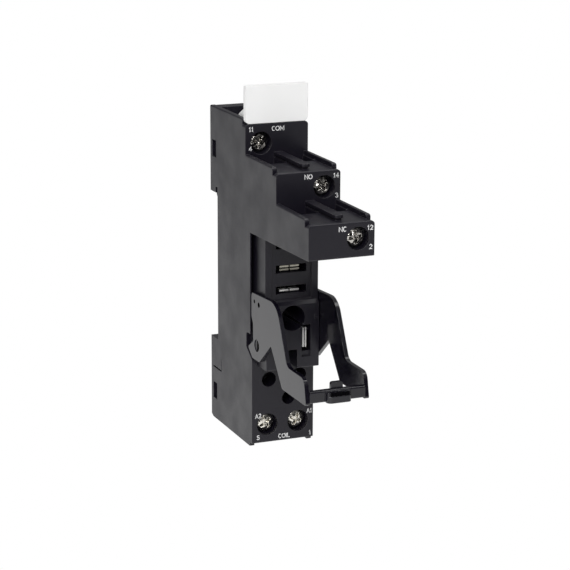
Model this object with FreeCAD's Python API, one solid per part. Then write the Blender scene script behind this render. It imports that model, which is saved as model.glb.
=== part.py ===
"""Relay socket for a 35 mm rail: a stepped moulded housing with five screw terminals,
a plug-in seat for a narrow relay, a swinging holding lever, a clip-on marker tag and a
sprung rail latch.

Frame, in millimetres: X to the right, Y from the front to the rail, Z up. The plane
y = 0 lies on the rail's front face and z = 0 is the rail's middle.
"""
import FreeCAD, Part
import os
from math import acos, hypot, sin, tan

V = FreeCAD.Vector

# The rail that the socket clips on, and the room that the hook and the latch need
rail_height = 35.0
rail_play = 0.1
brim_slot = 1.3
hook_room = 1.5
hook_lap = 1.7
hook_depth = 2.3
hook_round = 0.5
latch_room = 2.1

# Housing: reaches are distances in front of the rail face
width = 16.0
side_wall = 1.25
rear_depth = 4.8
com_reach = 18.9
no_reach = 38.2
nc_reach = 57.3
com_top = 37.7
no_top = 29.5
nc_top = 21.4
nc_face = 8.1
nc_underside_rise = 0.9
wall_reach = 21.9
low_reach = 23.1
low_bottom = -39.9
corner_round = 0.8
edge_round = 0.35

# Raised rims: the side walls stand above the pocket, the steps and the bottom face
rim_wall = 1.1
pocket_rim = 1.2
pocket_rim_set_back = 2.0
step_rim = 1.1
bottom_rim = 0.9
step_rim_set_back = 2.3
rim_notch = 0.9
rim_notch_depth = 0.7
bottom_rim_set_back = 1.2
rim_chamfer = 1.1
root = 0.5

# Lines of the latch panel on the side walls
panel_line_height = -27.5
panel_line_width = 0.4
panel_line_span = 3.4
panel_line_depth = 0.5
panel_line_front = 2.3
panel_line_back = 3.5

# Wire wells in the top of each step, with a middle rib on a narrower stem and small end posts
rib_centre = 0.4
rib_width = 2.3
rib_rise = 1.3
rib_plate = 0.7
rib_undercut = 0.45
rib_set_back = 2.4
rib_round = 0.8
rib_stem_set_back = 0.5
well_length = 7.5
post_width = 0.35
post_rise = 0.4
pocket_floor_drop = 1.7
pocket_well_wall = 3.5
pocket_well_back = 2.0
pocket_front_wall = 1.5

# Screw terminals
screw_side = 4.0
screw_edge = 4.6
step_screw_edge = 3.8
recess_radius = 2.7
head_radius = 1.95
head_sink = 1.3
head_height = 1.6
head_crown = 0.5
head_gap = 0.1
shank_radius = 1.45
shank_clearance = 0.15
cross_width = 0.62
cross_length = 2.9
cross_depth = 1.0
thread_clearance = 0.05
tip_gap = 0.1
first_screw_turn = 20
next_screw_turn = 31

# Clamp cages, which slide along their screws
cage_place = 8.0
cage_half = 2.45
cage_height = 4.9
cage_wall = 0.85
cage_front_wall = 1.1
cage_length = 6.8
cage_travel = 2.0
cage_clearance = 0.25
cage_round = 0.6

# Contact strips, bent from sheet, and their fork springs
strip_width = 2.4
strip_thick = 0.8
strip_place = 12.8
strip_overrun = 0.3
strip_under_cage = 0.6
strip_bend = 0.5
strip_clearance = 0.15
fork_half = 2.5
fork_leaf = 0.55
fork_gap = 0.25
fork_split = 0.3
fork_sink = 1.6
fork_heights = {"nc": 10.3, "com": 4.32, "no": -0.75}
upper_leaf_sink = {"nc": 1.6, "com": 1.6, "no": 3.4}
run_reach = {"com": 19.9, "no": 19.9, "nc": 22.9}
coil_leaf = 0.42
coil_leaf_gap = 0.2
coil_blade_top = -10.3
coil_blade_bottom = -15.2
coil_blade_side = 3.4
coil_blade_sink = 1.0
coil_base_half = 0.6

# Relay seat
seat_reach = 28.5
seat_proud = 0.8
seat_ledge = -3.5
seat_bottom = -20.0
panel_half = 5.05
panel_sink = 0.4
panel_bottom = -3.0
slot_half = 3.9
slot_height = 1.95
slot_heights = {"nc": 10.3, "com": 4.4, "no": -0.7}
coil_slot_side = 3.45
coil_slot_width = 2.3
coil_slot_top = -9.4
coil_slot_bottom = -16.0
coil_land_bottom = -17.3
coil_land_depth = 0.5
seat_stud_side = 6.05
seat_stud_height = -7.6
seat_stud_half = 0.5
seat_stud_rise = 0.4
notch_half = 1.15
notch_top = -15.3
notch_depth = 5.3
groove_width = 0.9
groove_floor_width = 0.25
groove_depth = 4.5

# Panel screw hole through the seat, with a deep counterbore
panel_hole_place = -7.5
panel_hole_radius = 1.75
panel_bore_radius = 3.1
panel_hole_length = 6.0

# Round sockets for a plug-in module in the lower block: x, z and radius
module_holes = [(-3.6, -24.0, 1.84), (4.3, -23.6, 1.8), (1.5, -29.1, 1.7)]
module_hole_depth = 5.5

# Holding lever
pivot_reach = 25.8
pivot_height = -14.4
pivot_radius = 1.4
pivot_clearance = 0.08
pivot_length = 0.95
arm_thick = 1.0
arm_side_gap = 0.1
lever_bar_height = 2.8
lever_bar_depth = 1.3
lever_tab_half = 1.45
lever_tab_top = -15.8
lever_tab_thick = 1.0
lever_lip_half = 3.0
lever_lip_reach = 1.5
lever_lip_height = 2.5
foot_room_back = 19.4
foot_room_top = -12.5
foot_room_drop = 3.7
foot_room_round = 0.8
foot_slope_low = -18.73
foot_far = 30.2
foot_low = -6.2
bar_rise = 0.4
tab_set_back = 0.5
lip_groove_half = 2.1
lip_groove_depth = 1.1
bar_round = 0.4
tab_round = 0.5
lip_round = 1.1
lip_groove_round = 0.3
lip_groove_front = 0.85
lip_groove_back = 0.25
heel_round = 2.2
heel_rise = -0.1
heel_set_in = 1.3

# Marker tag
tag_height = 9.2
tag_thick = 1.4
tag_side_gap = 0.1
tag_round = 1.1
tag_foot_half = 6.3
tag_foot_depth = 3.4
tag_gap = 0.1
tag_tongue_half = 0.8
tag_tongue_thick = 1.2
tag_tongue_length = 3.6
tag_foot_rise = 3.4

# Rear covers with snap lugs, and the side windows that hold the lugs
cover_thick = 4.0
cover_gap = 0.1
window_depth = 2.65
window_height = 4.2
upper_window = 28.5
lower_window = -33.5
lug_gap = 0.25
lug_rise = 0.7

# Rail latch, a tee section that slides in the lower cover
latch_half = 3.0
latch_flange = 1.0
latch_flange_thick = 1.2
latch_thick = 2.8
latch_rear_gap = 0.3
latch_gap = 0.15
latch_nose_lap = 1.5
latch_nose_depth = 1.5
latch_travel = 2.5
latch_nose_slope = 2.0
latch_nose_lip = 0.9
latch_nose_round = 0.3
latch_tail = 2.2
latch_slot_half = 1.6
latch_slot_height = 0.8
stop_half = 1.0
stop_height = 1.2
stop_set_in = 0.4
window_half = 1.45
spring_gap = 0.05
spring_place = -25.5
spring_length = 6.0
spring_radius = 1.05
spring_wire = 0.22
spring_turns = 3

half = width / 2
seat_half = half - side_wall
rear = rear_depth
notch_upper = rail_height / 2 + rail_play
notch_lower = -(rail_height / 2 + latch_room)
nc_bottom = nc_top - nc_face
cover_front = rear - cover_thick
coil_front = -(seat_reach + seat_proud - coil_blade_sink)
rib_left = rib_centre - rib_width / 2
rib_right = rib_centre + rib_width / 2
recess_depth = head_sink + head_height + head_gap
tongue_front = -(com_reach - pocket_front_wall) + tag_gap
tongue_low = com_top - pocket_floor_drop - tag_tongue_length
latch_front = rear - latch_rear_gap - latch_thick
latch_step = latch_front + latch_flange_thick
spring_middle = latch_front + latch_thick / 2

# The two steps with wire wells: reach of the face behind, reach of the front, floor
steps = [(com_reach, no_reach, no_top), (no_reach, nc_reach, nc_top)]

# Each terminal: side of the screw, y of its front face, edge it is measured from, wire way
terminals = {
    "com": (-1, -com_reach, com_top - screw_edge, 1),
    "no": (1, -no_reach, no_top - step_screw_edge, 1),
    "nc": (1, -nc_reach, nc_top - step_screw_edge, 1),
    "a1": (1, -low_reach, low_bottom + screw_edge, -1),
    "a2": (-1, -low_reach, low_bottom + screw_edge, -1),
}


def box(x0, x1, y0, y1, z0, z1):
    """Box between two corners."""
    return Part.makeBox(x1 - x0, y1 - y0, z1 - z0, V(x0, y0, z0))


def rod_y(x, z, radius, y0, y1):
    """Cylinder along Y."""
    return Part.makeCylinder(radius, y1 - y0, V(x, y0, z), V(0, 1, 0))


def rod_x(y, z, radius, x0, x1):
    """Cylinder along X."""
    return Part.makeCylinder(radius, x1 - x0, V(x0, y, z), V(1, 0, 0))


def outline(points, place):
    """Closed wire through (u, v) or (u, v, radius) corners; place turns (u, v) into a point."""
    flat = [(p[0], p[1], p[2] if len(p) > 2 else 0.0) for p in points]
    ends = []
    for i, (u, v, r) in enumerate(flat):
        au, av = flat[i - 1][0] - u, flat[i - 1][1] - v
        bu, bv = flat[(i + 1) % len(flat)][0] - u, flat[(i + 1) % len(flat)][1] - v
        la, lb = hypot(au, av), hypot(bu, bv)
        au, av, bu, bv = au / la, av / la, bu / lb, bv / lb
        if r == 0.0:
            ends.append((place(u, v), None, place(u, v)))
            continue
        opening = acos(max(-1.0, min(1.0, au * bu + av * bv))) / 2
        reach = min(r / tan(opening), 0.49 * la, 0.49 * lb)
        radius = reach * tan(opening)
        mu, mv = au + bu, av + bv
        lm = hypot(mu, mv)
        gap = radius / sin(opening) - radius
        middle = place(u + mu / lm * gap, v + mv / lm * gap)
        ends.append((place(u + au * reach, v + av * reach), middle, place(u + bu * reach, v + bv * reach)))
    edges = []
    for i, (start, middle, stop) in enumerate(ends):
        if middle is not None:
            edges.append(Part.Arc(start, middle, stop).toShape())
        following = ends[(i + 1) % len(ends)][0]
        if stop.distanceToPoint(following) > 1e-6:
            edges.append(Part.LineSegment(stop, following).toShape())
    return Part.Wire(edges)


def slab_x(points, x0, x1):
    """Outline in Y and Z, carried from x0 to x1."""
    face = Part.Face(outline(points, lambda u, v: V(x0, u, v)))
    return face.extrude(V(x1 - x0, 0, 0))


def slab_y(points, y0, y1):
    """Outline in X and Z, carried from y0 to y1."""
    face = Part.Face(outline(points, lambda u, v: V(u, y0, v)))
    return face.extrude(V(0, y1 - y0, 0))


def slab_z(points, z0, z1):
    """Outline in X and Y, carried from z0 to z1."""
    face = Part.Face(outline(points, lambda u, v: V(u, v, z0)))
    return face.extrude(V(0, 0, z1 - z0))


def both_sides(solid):
    """The solid and its mirror image across the plane x = 0."""
    return [solid, solid.mirror(V(0, 0, 0), V(1, 0, 0))]


def joined(solids):
    """One solid made of all of them, with split faces merged."""
    return solids[0].fuse(solids[1:]).removeSplitter()


def underside(reach):
    """Height of the lowest step's sloping underside at a distance in front of the rail."""
    share = (nc_reach - reach) / (nc_reach - wall_reach)
    return nc_bottom - nc_underside_rise * share


def stair():
    """Front and top of the three steps, from the pocket down to the underside's front."""
    return [
        (rear, com_top), (-com_reach, com_top, edge_round), (-com_reach, no_top),
        (-no_reach, no_top, edge_round), (-no_reach, nc_top),
        (-nc_reach, nc_top, edge_round), (-nc_reach, nc_bottom, edge_round),
    ]


def rail_notch():
    """Rear outline from the bottom to the top, with the notch for the rail."""
    return [(rear, low_bottom), (rear, notch_lower), (0, notch_lower), (0, notch_upper), (rear, notch_upper)]


def centre_block():
    """Middle of the housing between the side walls, with the relay seat standing forward."""
    proud = seat_reach + seat_proud
    front = [
        (-seat_reach, underside(seat_reach)), (-seat_reach, seat_ledge),
        (-proud, seat_ledge - seat_proud), (-proud, seat_bottom, edge_round),
        (-low_reach, seat_bottom), (-low_reach, low_bottom, edge_round),
    ]
    return slab_x(stair() + front + rail_notch(), -seat_half, seat_half)


def side_slab():
    """One side wall, with the room for the lever's foot cut out of its front edge."""
    slope = (foot_room_top - foot_room_drop - foot_slope_low) / (low_reach - foot_room_back)
    front = [
        (-wall_reach, underside(wall_reach)), (-wall_reach, foot_room_top),
        (-foot_room_back, foot_room_top, foot_room_round), (-foot_room_back, foot_room_top - foot_room_drop),
        (-low_reach, foot_room_top - foot_room_drop - slope * (low_reach - foot_room_back)),
        (-low_reach, low_bottom, edge_round),
    ]
    return slab_x(stair() + front + rail_notch(), seat_half, half)


def rims():
    """Raised edges of one side wall: round the pocket, on both steps and at the bottom."""
    inner = half - rim_wall
    pocket_end = -(com_reach - pocket_rim_set_back)
    pocket = [
        (rear, com_top - root), (rear, com_top + pocket_rim, edge_round),
        (pocket_end, com_top + pocket_rim, edge_round), (pocket_end, com_top, corner_round),
        (-com_reach + edge_round, com_top), (-com_reach + edge_round, com_top - root),
    ]
    solids = [slab_x(pocket, inner, half)]
    for back, front, floor in steps:
        end = -(front - step_rim_set_back)
        rim = [(-back, floor - root), (-back, floor + step_rim), (end, floor + step_rim, corner_round),
               (end, floor - root)]
        solids.append(slab_x(rim, inner, half))
    end = -(low_reach - bottom_rim_set_back)
    low = low_bottom - bottom_rim
    bottom = [(rear, low_bottom + root), (rear, low + rim_chamfer / 2), (rear - rim_chamfer, low),
              (end, low, edge_round), (end, low_bottom + root)]
    solids.append(slab_x(bottom, inner, half))
    return solids


def ribs():
    """Middle rib on each step: a plate with rounded front corners on a narrower stem."""
    solids = []
    for back, front, floor in steps:
        end = -(front - rib_set_back)
        top = floor + rib_rise
        low = top - rib_plate
        plate = [(rib_left, -back), (rib_left, end, rib_round),
                 (rib_right, end, rib_round), (rib_right, -back)]
        solids.append(slab_z(plate, low, top))
        solids.append(box(rib_left + rib_undercut, rib_right - rib_undercut, end + rib_stem_set_back, -back,
                          floor - root, low))
    return solids


def posts():
    """Small post at the right end of each wire well's front edge."""
    solids = []
    for back, _, floor in steps:
        y1 = -(back + well_length)
        for x1 in (rib_left + rib_undercut, seat_half):
            solids.append(box(x1 - post_width - rib_undercut, x1, y1 - post_width, y1, floor - root,
                              floor + post_rise))
    return solids


def well_bottom(name):
    """Floor of a terminal's chamber, just below its clamp cage."""
    return terminals[name][2] - cage_height / 2 - cage_clearance


def wells():
    """Open wells in the steps and the pocket, for the wires and the clamp cages."""
    cuts = []
    for name, (back, _, floor) in zip(("no", "nc"), steps):
        low = well_bottom(name)
        for x0, x1 in ((-seat_half, rib_left), (rib_right, seat_half)):
            cuts.append(box(x0, x1, -(back + well_length), -back, low, floor))
    pocket_floor = com_top - pocket_floor_drop
    top = com_top + 2 * pocket_rim
    low = well_bottom("com")
    cuts.append(box(-seat_half, seat_half, -(com_reach - pocket_front_wall), cover_front, pocket_floor, top))
    inner = screw_side - cage_half - cage_clearance
    for sign in (-1, 1):
        x0, x1 = sorted((sign * inner, sign * seat_half))
        cuts.append(box(x0, x1, -(com_reach - pocket_well_wall), -pocket_well_back, low, pocket_floor))
    return cuts


def chambers():
    """Room for each clamp cage over its travel, with the screw's recess and square bore before it."""
    cuts = []
    for side, front, height, way in terminals.values():
        x = side * screw_side
        reach = cage_half + cage_clearance
        y0 = front + cage_place - cage_clearance
        y1 = front + cage_place + cage_length + cage_travel + cage_clearance
        tall = cage_height / 2 + cage_clearance
        z0 = low_bottom - bottom_rim if way < 0 else height - tall
        cuts.append(box(x - reach, x + reach, y0, y1, z0, height + tall))
        cuts.append(rod_y(x, height, recess_radius, front - 1, front + recess_depth))
        bore = shank_radius + shank_clearance
        cuts.append(box(x - bore, x + bore, front, y0 + 1, height - bore, height + bore))
    return cuts


def seat_cuts():
    """Recessed panel, contact slots, coil slots and bottom notch of the relay seat."""
    face = -seat_reach
    proud = face - seat_proud
    out = proud - 1
    cuts = [box(-panel_half, panel_half, out, face + panel_sink, panel_bottom, underside(seat_reach))]
    for name, z in slot_heights.items():
        back = -(run_reach[name] + strip_thick / 2)
        cuts.append(box(-slot_half, slot_half, out, back, z - slot_height / 2, z + slot_height / 2))
    coil_back = -low_reach + strip_place
    for sign in (-1, 1):
        x0 = sign * coil_slot_side - coil_slot_width / 2
        x1 = x0 + coil_slot_width
        cuts.append(box(x0, x1, out, coil_back, coil_slot_bottom, coil_slot_top))
        cuts.append(box(x0, x1, out, proud + coil_land_depth, coil_land_bottom, coil_slot_bottom))
    cuts.append(box(-notch_half, notch_half, out, proud + notch_depth, seat_bottom - 1, notch_top))
    cuts.append(rod_y(0, panel_hole_place, panel_bore_radius, out, -panel_hole_length))
    cuts.append(rod_y(0, panel_hole_place, panel_hole_radius, -panel_hole_length - 1, 1))
    return cuts


def seat_studs():
    """Ramped stud at each upper corner of the seat's proud face."""
    face = -(seat_reach + seat_proud)
    x0, x1 = seat_stud_side - seat_stud_half, seat_stud_side + seat_stud_half
    top = seat_stud_height + seat_stud_half
    points = [(face + 1, top), (face, top), (face - seat_stud_rise, seat_stud_height),
              (face - seat_stud_rise, top - 2 * seat_stud_half), (face + 1, top - 2 * seat_stud_half)]
    return both_sides(slab_x(points, x0, x1))


def grooves():
    """Tapering groove between each side wall and the relay seat."""
    floor = -wall_reach + groove_depth
    points = [(seat_half, -wall_reach - 1), (seat_half + groove_width, -wall_reach - 1),
              (seat_half + groove_width, -wall_reach), (seat_half + groove_floor_width, floor),
              (seat_half, floor)]
    return both_sides(slab_z(points, foot_room_top, underside(wall_reach)))


def wall_cuts():
    """Snap windows, brim slot, latch panel lines and the room for both rear covers."""
    out = half + 1
    cuts = [box(-out, out, 0, brim_slot, notch_upper, notch_upper + hook_room)]
    for z in (upper_window, lower_window):
        cuts.append(box(-out, out, cover_front, cover_front + window_depth,
                        z - window_height / 2, z + window_height / 2))
    top = com_top + 2 * pocket_rim
    cuts.append(box(-seat_half, seat_half, cover_front, rear + 1, notch_upper - 1, top))
    cuts.append(box(-seat_half, seat_half, cover_front, rear + 1, low_bottom - 1, notch_lower + 1))
    line_top = panel_line_height + panel_line_span
    slit = box(half - panel_line_depth, out, -panel_line_front, panel_line_back,
               panel_line_height, panel_line_height + panel_line_width)
    upright = box(half - panel_line_depth / 2, out, -panel_line_front,
                  -panel_line_front + panel_line_width / 2, panel_line_height, line_top)
    return cuts + both_sides(slit) + both_sides(upright)


def rim_notches():
    """Small notch in front of each step rim's end."""
    cuts = []
    for _, front, floor in steps:
        end = -(front - step_rim_set_back)
        notch = box(half - rim_wall, half + 1, end - rim_notch, end,
                    floor - rim_notch_depth, floor + step_rim)
        cuts += both_sides(notch)
    return cuts


def corner_cuts():
    """Rounds off the outer top corners of the steps' fronts and of the rims."""
    rim_end = com_reach - pocket_rim_set_back
    places = [(com_top, -com_reach - 1, -rim_end, corner_round)]
    for back, front, floor in steps:
        end = -(front - step_rim_set_back)
        places.append((floor, -front - 1, end, corner_round))
        places.append((floor + step_rim, end, -back, edge_round))
    places.append((com_top + pocket_rim, -rim_end, rear + 1, edge_round))
    cuts = []
    for top, y0, y1, r in places:
        corner = box(half - r, half + 1, y0, y1, top - r, top + 1)
        cuts += both_sides(corner.cut(rod_y(half - r, top - r, r, y0, y1)))
    return cuts


def module_sockets():
    """Blind round sockets of the plug-in module."""
    return [rod_y(x, z, r, -low_reach - 1, -low_reach + module_hole_depth) for x, z, r in module_holes]


def housing():
    """The whole moulded body."""
    pivot = rod_x(-pivot_reach, pivot_height, pivot_radius, seat_half - 1, seat_half + pivot_length)
    body = joined([centre_block()] + both_sides(side_slab()))
    body = body.cut(chambers() + wells() + seat_cuts() + module_sockets() + grooves())
    sides = [wall for rim in rims() for wall in both_sides(rim)]
    body = joined([body] + sides + ribs() + posts() + seat_studs() + both_sides(pivot))
    strips = [contact(name, strip_clearance) for name in terminals]
    body = body.cut(wall_cuts() + rim_notches() + corner_cuts() + strips + [tag_room()])
    return body.removeSplitter()


def bent_strip(points, thick, bend):
    """Outline in Y and Z of a sheet strip that follows square turns."""
    left, right = [], []
    last = len(points) - 1
    for i, (y, z) in enumerate(points):
        normals = []
        for a, b in ((i - 1, i), (i, i + 1)):
            if a >= 0 and b <= last:
                dy, dz = points[b][0] - points[a][0], points[b][1] - points[a][1]
                size = hypot(dy, dz)
                normals.append((-dz / size, dy / size))
        ny = sum(n[0] for n in normals)
        nz = sum(n[1] for n in normals)
        if 0 < i < last:
            before, after = normals
            turn = before[0] * after[1] - before[1] * after[0]
            outer, inner = bend + thick, bend
            left_round, right_round = (inner, outer) if turn > 0 else (outer, inner)
        else:
            left_round = right_round = 0.0
        left.append((y + ny * thick / 2, z + nz * thick / 2, left_round))
        right.append((y - ny * thick / 2, z - nz * thick / 2, right_round))
    return left + right[::-1]


def strip_route(name):
    """Middle line of a contact strip from its clamp end to its fork."""
    _, front, height, way = terminals[name]
    clamp = front + strip_place + strip_thick / 2
    end = height + way * (cage_height / 2 + strip_overrun)
    if way < 0:
        return [(clamp, end), (clamp, coil_blade_top)]
    slot = fork_heights[name]
    if name == "com":
        return [(clamp, end), (clamp, slot), (-run_reach[name], slot)]
    run = -run_reach[name]
    level = height - cage_height / 2 - strip_under_cage - strip_thick / 2
    return [(clamp, end), (clamp, level), (run, level), (run, slot)]


def contact(name, room=0.0):
    """Contact strip with its fork spring; room grows it into the channel that holds it."""
    side = terminals[name][0]
    middle = side * screw_side
    thick = strip_thick + 2 * room
    x0, x1 = middle - strip_width / 2 - room, middle + strip_width / 2 + room
    route = strip_route(name)
    (ya, za), (yb, zb) = route[0], route[1]
    size = hypot(yb - ya, zb - za)
    route[0] = (ya - (yb - ya) / size * room, za - (zb - za) / size * room)
    (ya, za), (yb, zb) = route[-2], route[-1]
    size = hypot(yb - ya, zb - za)
    route[-1] = (yb + (yb - ya) / size * room, zb + (zb - za) / size * room)
    solids = [slab_x(bent_strip(route, thick, max(strip_bend - room, 0.05)), x0, x1)]
    if name in fork_heights:
        solids += fork(name, x0, x1, room)
    else:
        solids += coil_blade(side, route[-1][0], room)
    return joined(solids)


def fork(name, x0, x1, room):
    """Level fork of two split leaves, joined to its strip by a crosspiece."""
    z = fork_heights[name]
    tall = fork_gap / 2 + fork_leaf
    y0 = -(run_reach[name] + strip_thick / 2) - room
    y1 = y0 + strip_thick + 2 * room
    lo, hi = min(x0, -fork_half - room), max(x1, fork_half + room)
    solids = [box(lo, hi, y0, y1, z - tall - room, z + tall + room)]
    if room > 0:
        return solids
    for sx in (-1, 1):
        for sz in (-1, 1):
            xs = sorted((sx * fork_split / 2, sx * fork_half))
            zs = sorted((z + sz * fork_gap / 2, z + sz * tall))
            sink = upper_leaf_sink[name] if sz > 0 else fork_sink
            solids.append(box(xs[0], xs[1], -seat_reach + sink, y0 + strip_thick / 2, zs[0], zs[1]))
    return solids


def coil_blade(side, run, room):
    """Upright fork of two leaves for a coil pin."""
    y1 = run + strip_thick / 2 + room
    middle = side * coil_blade_side
    if room > 0:
        return [box(middle - coil_base_half, middle + coil_base_half, run - 1, y1,
                    coil_blade_bottom - room, coil_blade_top + room)]
    solids = []
    for sign in (-1, 1):
        inner = middle + sign * coil_leaf_gap / 2
        outer = inner + sign * coil_leaf
        xs = sorted((inner, outer))
        solids.append(box(xs[0], xs[1], coil_front, y1, coil_blade_bottom, coil_blade_top))
    return solids


def tag_room():
    """Slot behind the upper front wall for the tag's tongue."""
    y0 = tongue_front - tag_gap
    room = tag_tongue_half + tag_gap
    top = com_top + pocket_rim
    return box(-room, room, y0, y0 + tag_tongue_thick + 2 * tag_gap, tongue_low - tag_gap, top)


def tag():
    """Marker tag: an upright plate with a sloping foot and a tongue behind it."""
    low = com_top + tag_gap
    side = half - tag_side_gap
    top = com_top + tag_height
    plate = [(-side, low, tag_round), (side, low, tag_round),
             (side, top, edge_round), (-side, top, edge_round)]
    back = -com_reach + tag_thick
    floor = com_top - pocket_floor_drop + tag_gap
    foot_front = -(com_reach - pocket_front_wall) + tag_gap
    foot_back = foot_front + tag_foot_depth
    foot = [(back - tag_thick / 2, low + edge_round), (back - tag_thick / 2, low + tag_foot_rise),
            (back, low + tag_foot_rise), (foot_back, low + tag_foot_rise / 3), (foot_back, floor, edge_round),
            (foot_front, floor), (foot_front, low + edge_round)]
    tongue = box(-tag_tongue_half, tag_tongue_half, tongue_front, tongue_front + tag_tongue_thick,
                 tongue_low, low)
    foot = slab_x(foot, -tag_foot_half, tag_foot_half)
    return joined([slab_y(plate, -com_reach, back), foot, tongue])


def lever_arm():
    """Right arm of the lever: a crank from above the pivot, past the seat, to the front foot."""
    crank = [
        (3.5, 12.4, 1.2), (3.5, 6.6, 1.0), (2.5, 4.9, 1.0), (2.3, 0.6, 0.6), (5.7, -1.6, 0.5),
        (2.9, -3.8, 0.8), (-1.6, -3.7, 0.8), (-9.0, 2.3, 0.5), (-15.9, foot_low, 0.5),
        (-foot_far, foot_low, 0.5), (-foot_far + heel_set_in, heel_rise, heel_round),
        (-18.9, heel_rise, 2.5), (-12.2, 13.3, 5.5),
    ]
    points = [(y - pivot_reach, z + pivot_height, r) for y, z, r in crank]
    x0 = seat_half + arm_side_gap
    arm = slab_x(points, x0, x0 + arm_thick)
    return arm.cut(rod_x(-pivot_reach, pivot_height, pivot_radius + pivot_clearance, x0 - 1, half + 1))


def lever_front():
    """Front of the lever: the crossbar between the arms, its tab, and the grooved thumb lip."""
    front = -pivot_reach - foot_far
    back = front + lever_bar_depth
    low = pivot_height + foot_low + bar_rise
    top = low + lever_bar_height
    side = seat_half + arm_side_gap
    bar = slab_x([(front, low, bar_round), (back, low), (back, top), (front, top, bar_round)], -side, side)
    tab_front = front + tab_set_back
    tab = slab_y([(-lever_tab_half, low + 1), (lever_tab_half, low + 1),
                  (lever_tab_half, lever_tab_top, tab_round), (-lever_tab_half, lever_tab_top, tab_round)],
                 tab_front, tab_front + lever_tab_thick)
    lip_front = front - lever_lip_reach
    lip = slab_z([(-lever_lip_half, back), (-lever_lip_half, lip_front, lip_round),
                  (lever_lip_half, lip_front, lip_round), (lever_lip_half, back)],
                 low, low + lever_lip_height)
    near, far = front - lip_groove_back, front - lip_groove_front
    groove = slab_z([(-lip_groove_half, near, lip_groove_round), (-lip_groove_half, far, lip_groove_round),
                     (lip_groove_half, far, lip_groove_round), (lip_groove_half, near, lip_groove_round)],
                    low + lever_lip_height - lip_groove_depth, top + 1)
    return [bar, tab, lip], groove


def lever():
    """Holding lever: two cranked arms on the seat's pivots, joined by the front crossbar."""
    solids, groove = lever_front()
    return joined(both_sides(lever_arm()) + solids).cut(groove)


def lug(z):
    """Ramped snap lug on one side of a rear cover, at the height of its window."""
    side = seat_half - cover_gap
    y0, y1 = cover_front + lug_gap, cover_front + window_depth - lug_gap
    points = [(side - root, y0), (side, y0), (side + lug_rise, y1 - lug_rise), (side + lug_rise, y1),
              (side - root, y1)]
    return slab_z(points, z - window_height / 2 + lug_gap, z + window_height / 2 - lug_gap)


def upper_cover():
    """Rear cover of the upper part, ending below in the fixed rail hook."""
    side = seat_half - cover_gap
    top = com_top + pocket_rim - cover_gap
    hook = notch_upper - hook_lap
    points = [
        (cover_front, top), (rear, top, edge_round), (rear, notch_upper),
        (brim_slot + hook_depth, hook, hook_round), (brim_slot, hook, hook_round),
        (brim_slot, notch_upper + hook_room), (cover_front, notch_upper + hook_room),
    ]
    return joined([slab_x(points, -side, side)] + both_sides(lug(upper_window)))


def lower_cover():
    """Rear cover of the lower block, with the tee channel and the spring stop of the rail latch."""
    side = seat_half - cover_gap
    body = box(-side, side, cover_front, rear, low_bottom, notch_lower)
    wide = latch_half + latch_flange + latch_gap
    mouth = latch_half + latch_gap
    over = latch_travel
    body = body.cut([
        box(-wide, wide, latch_front - latch_gap, latch_step + latch_gap,
            low_bottom - over, notch_lower + over),
        box(-mouth, mouth, latch_front, rear + 1, low_bottom - over, notch_lower + over),
    ])
    top = spring_place - spring_length
    stop = box(-stop_half, stop_half, cover_front + stop_set_in, spring_middle + spring_radius,
               top - stop_height, top)
    return joined([body, stop] + both_sides(lug(lower_window)))


def latch():
    """Rail latch: a tee-section slide with a sloping nose, a spring window and a slotted tail."""
    back = rear - latch_rear_gap
    nose_top = -rail_height / 2 + latch_nose_lap
    wide = latch_half + latch_flange
    flange = box(-wide, wide, latch_front, latch_step, low_bottom, notch_lower - latch_gap)
    nose = [
        (back, low_bottom - latch_tail, edge_round), (back, notch_lower + latch_nose_depth),
        (back - latch_nose_slope, nose_top, latch_nose_round), (brim_slot, nose_top),
        (brim_slot, nose_top - latch_nose_lip), (latch_front, nose_top - latch_nose_lip),
        (latch_front, low_bottom - latch_tail, edge_round),
    ]
    body = joined([flange, slab_x(nose, -latch_half, latch_half)])
    low = spring_place - spring_length - stop_height - spring_gap
    window = box(-window_half, window_half, 0, rear + 1, low, spring_place + spring_gap)
    slot_z = low_bottom - latch_tail / 2
    slot = box(-latch_slot_half, latch_slot_half, 0, rear + 1, slot_z - latch_slot_height / 2,
               slot_z + latch_slot_height / 2)
    return body.cut([window, slot])


def latch_spring():
    """Compression spring of the rail latch, wound from square wire."""
    tall = spring_length - 2 * spring_wire - spring_gap
    helix = Part.makeHelix(tall / spring_turns, tall, spring_radius)
    out, into = spring_radius + spring_wire, spring_radius - spring_wire
    section = Part.makePolygon([V(into, 0, -spring_wire), V(out, 0, -spring_wire), V(out, 0, spring_wire),
                                V(into, 0, spring_wire), V(into, 0, -spring_wire)])
    coil = Part.Wire(helix.Edges).makePipeShell([section], True, True)
    coil.translate(V(0, spring_middle, spring_place - spring_length + spring_wire))
    return coil


def screw(name, turn):
    """Terminal screw with a domed cross-recessed head and a plain shank for its thread."""
    side, front, height, _ = terminals[name]
    x = side * screw_side
    top = front + head_sink
    sphere = (head_radius ** 2 + head_crown ** 2) / (2 * head_crown)
    head = rod_y(x, height, head_radius, top, top + head_height)
    head = head.common(Part.makeSphere(sphere, V(x, top + sphere, height)))
    cross = []
    for i in range(2):
        arm = box(-cross_length / 2, cross_length / 2, -1, cross_depth, -cross_width / 2, cross_width / 2)
        arm.rotate(V(0, 0, 0), V(0, 1, 0), turn + 90 * i)
        arm.translate(V(x, top, height))
        cross.append(arm)
    tip = front + strip_place - tip_gap
    shank = rod_y(x, height, shank_radius, top + head_height, tip)
    return joined([head.cut(cross), shank])


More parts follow.
